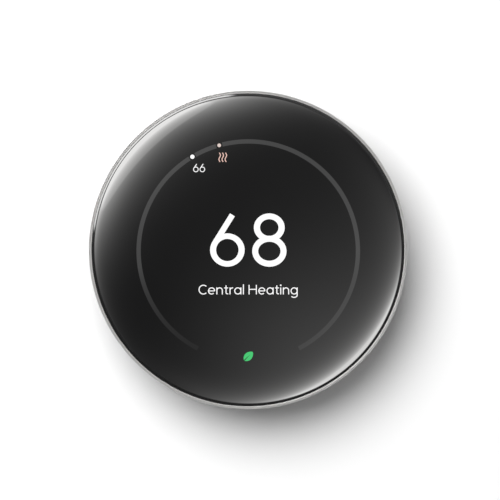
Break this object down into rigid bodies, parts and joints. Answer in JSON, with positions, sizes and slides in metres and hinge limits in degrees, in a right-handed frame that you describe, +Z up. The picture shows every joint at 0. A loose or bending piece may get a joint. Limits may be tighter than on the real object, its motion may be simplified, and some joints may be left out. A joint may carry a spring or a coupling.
{
  "type": "wall thermostat",
  "caption": "Round wall thermostat with a domed glass front that presses in, a turning metal ring, a head that pulls off its wall base, and sprung wire-release tabs.",
  "frame": {"origin": "centre of the base's flat back face, on the wall plane", "axes": "+Z up, -Y out from the wall towards the viewer, +X to the viewer's right"},
  "size_m": [0.098, 0.0272, 0.098],
  "materials": {
    "shell_dark": "fine texture",
    "shell_light": "satin",
    "black_gloss": "high gloss",
    "glass": "polished, dark",
    "polished_steel": "polished",
    "zinc": "zinc plated",
    "spring_steel": "plain",
    "brass": "tinned",
    "board_green": "solder mask",
    "board_black": "solder mask",
    "terminal_grey": "moulded",
    "tab_white": "moulded",
    "pouch": "laminated foil",
    "polyimide": "film",
    "ptfe": "waxy",
    "foam_black": "foam tape",
    "level_green": "clear tinted",
    "diffuser": "diffusing"
  },
  "bodies": {
    "base": {"base_rear_cover": "shell_light", "base_housing": "shell_light", "base_pcb": "board_green", "terminal_block_left": "terminal_grey", "terminal_block_right": "terminal_grey", "level_vial": "level_green", "base_connector": "shell_dark", "base_screw_1": "zinc", "base_screw_2": "zinc", "contact_clip_l1": "brass", "contact_clip_l2": "brass", "contact_clip_l3": "brass", "contact_clip_l4": "brass", "contact_clip_l5": "brass", "contact_clip_r1": "brass", "contact_clip_r2": "brass", "contact_clip_r3": "brass", "contact_clip_r4": "brass", "contact_clip_r5": "brass"},
    "head": {"head_rear_housing": "shell_dark", "head_connector": "board_black", "main_pcb": "board_black", "battery": "pouch", "buzzer": "board_black", "switch_body": "spring_steel", "switch_dome": "spring_steel", "service_port": "spring_steel", "pcb_screw_1": "zinc", "pcb_screw_2": "zinc", "press_spring_1": "spring_steel", "press_spring_2": "spring_steel", "press_spring_3": "spring_steel"},
    "front": {"front_frame": "shell_dark", "guide_screw_1": "zinc", "guide_screw_2": "zinc", "guide_screw_3": "zinc", "display_tray": "spring_steel", "backlight_unit": "diffuser", "display_panel": "black_gloss", "display_flex": "polyimide", "lens": "glass", "lens_gasket": "foam_black", "bezel_trim": "black_gloss", "glide_ring": "ptfe", "retaining_ring": "spring_steel", "ring_sensor": "board_black", "sensor_board": "board_green", "presence_sensor": "board_black"},
    "ring": {"metal_ring": "polished_steel", "encoder_band": "board_black"},
    "wire_tab_l1": {"wire_tab_l1": "tab_white"},
    "wire_tab_l2": {"wire_tab_l2": "tab_white"},
    "wire_tab_l3": {"wire_tab_l3": "tab_white"},
    "wire_tab_l4": {"wire_tab_l4": "tab_white"},
    "wire_tab_l5": {"wire_tab_l5": "tab_white"},
    "wire_tab_r1": {"wire_tab_r1": "tab_white"},
    "wire_tab_r2": {"wire_tab_r2": "tab_white"},
    "wire_tab_r3": {"wire_tab_r3": "tab_white"},
    "wire_tab_r4": {"wire_tab_r4": "tab_white"},
    "wire_tab_r5": {"wire_tab_r5": "tab_white"}
  },
  "joints": [
    {"name": "head_pull", "type": "slide", "parent": "base", "child": "head", "axis": [0, -1, 0], "range_m": [0, 0.035]},
    {"name": "press", "type": "slide", "parent": "head", "child": "front", "axis": [0, 1, 0], "range_m": [0, 0.0006], "stiffness_N_per_m": 3000, "springref_m": -0.0006},
    {"name": "ring_turn", "type": "hinge", "parent": "front", "child": "ring", "pos_m": [0, -0.0165, 0], "axis": [0, 1, 0], "continuous": true},
    {"name": "wire_tab_l1_push", "type": "slide", "parent": "base", "child": "wire_tab_l1", "axis": [0, 1, 0], "range_m": [0, 0.0015], "stiffness_N_per_m": 500, "springref_m": -0.001},
    {"name": "wire_tab_l2_push", "type": "slide", "parent": "base", "child": "wire_tab_l2", "axis": [0, 1, 0], "range_m": [0, 0.0015], "stiffness_N_per_m": 500, "springref_m": -0.001},
    {"name": "wire_tab_l3_push", "type": "slide", "parent": "base", "child": "wire_tab_l3", "axis": [0, 1, 0], "range_m": [0, 0.0015], "stiffness_N_per_m": 500, "springref_m": -0.001},
    {"name": "wire_tab_l4_push", "type": "slide", "parent": "base", "child": "wire_tab_l4", "axis": [0, 1, 0], "range_m": [0, 0.0015], "stiffness_N_per_m": 500, "springref_m": -0.001},
    {"name": "wire_tab_l5_push", "type": "slide", "parent": "base", "child": "wire_tab_l5", "axis": [0, 1, 0], "range_m": [0, 0.0015], "stiffness_N_per_m": 500, "springref_m": -0.001},
    {"name": "wire_tab_r1_push", "type": "slide", "parent": "base", "child": "wire_tab_r1", "axis": [0, 1, 0], "range_m": [0, 0.0015], "stiffness_N_per_m": 500, "springref_m": -0.001},
    {"name": "wire_tab_r2_push", "type": "slide", "parent": "base", "child": "wire_tab_r2", "axis": [0, 1, 0], "range_m": [0, 0.0015], "stiffness_N_per_m": 500, "springref_m": -0.001},
    {"name": "wire_tab_r3_push", "type": "slide", "parent": "base", "child": "wire_tab_r3", "axis": [0, 1, 0], "range_m": [0, 0.0015], "stiffness_N_per_m": 500, "springref_m": -0.001},
    {"name": "wire_tab_r4_push", "type": "slide", "parent": "base", "child": "wire_tab_r4", "axis": [0, 1, 0], "range_m": [0, 0.0015], "stiffness_N_per_m": 500, "springref_m": -0.001},
    {"name": "wire_tab_r5_push", "type": "slide", "parent": "base", "child": "wire_tab_r5", "axis": [0, 1, 0], "range_m": [0, 0.0015], "stiffness_N_per_m": 500, "springref_m": -0.001}
  ]
}
